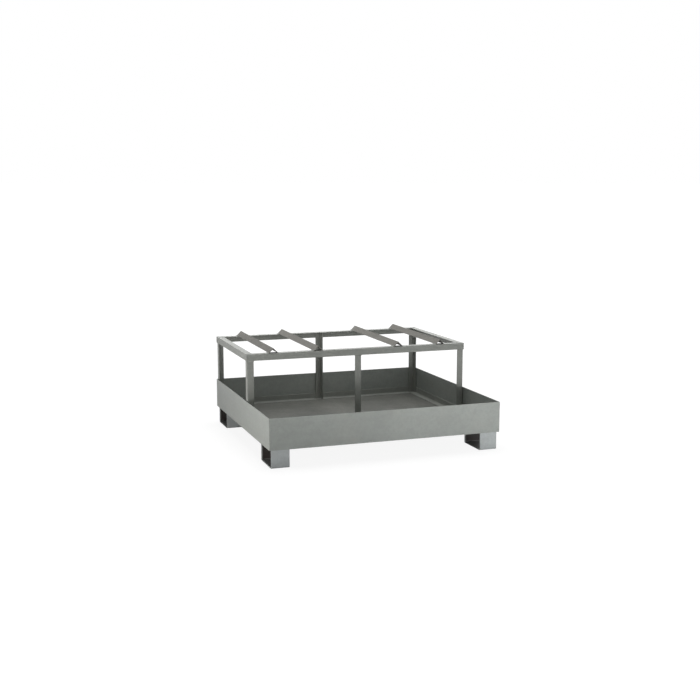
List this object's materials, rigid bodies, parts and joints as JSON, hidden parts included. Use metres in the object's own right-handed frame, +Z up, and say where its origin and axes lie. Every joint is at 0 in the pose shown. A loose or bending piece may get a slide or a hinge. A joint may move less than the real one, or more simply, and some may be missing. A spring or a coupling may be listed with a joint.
{
  "type": "spill containment pallet",
  "caption": "Steel spill containment pallet: an open sump on channel feet, holding a lift-out angle-iron rack that cradles drums on their sides.",
  "frame": {"origin": "on the ground under the middle of the sump, at the centre of the bounding box's base", "axes": "+X along the pallet's width to the right as seen from the front, +Y to the back where the rack stands, +Z up"},
  "size_m": [1.346, 1.245, 0.5724],
  "materials": {
    "sump_wall_paint": "satin grey enamel, lightly mottled",
    "sump_floor_paint": "satin grey enamel, scuffed",
    "foot_paint": "satin grey enamel",
    "rack_paint": "satin grey enamel",
    "cradle_paint": "satin grey enamel, rubbed by drums"
  },
  "bodies": {
    "sump": {"sump_floor": "sump_floor_paint", "front_wall": "sump_wall_paint", "back_wall": "sump_wall_paint", "left_wall": "sump_wall_paint", "right_wall": "sump_wall_paint", "foot_front_left": "foot_paint", "foot_front_right": "foot_paint", "foot_back_left": "foot_paint", "foot_back_right": "foot_paint"},
    "rack": {"top_rail_front": "rack_paint", "top_rail_right": "rack_paint", "top_rail_back": "rack_paint", "top_rail_left": "rack_paint", "base_rail_front": "rack_paint", "base_rail_right": "rack_paint", "base_rail_back": "rack_paint", "base_rail_left": "rack_paint", "post_front_left": "rack_paint", "post_front_middle": "rack_paint", "post_front_right": "rack_paint", "post_back_left": "rack_paint", "post_back_middle": "rack_paint", "post_back_right": "rack_paint", "cradle_left_outer": "cradle_paint", "cradle_left_inner": "cradle_paint", "cradle_right_outer": "cradle_paint", "cradle_right_inner": "cradle_paint"}
  },
  "joints": [
    {"name": "rack_lift", "type": "slide", "parent": "sump", "child": "rack", "axis": [0, 0, 1], "range_m": [0, 0.3]}
  ]
}
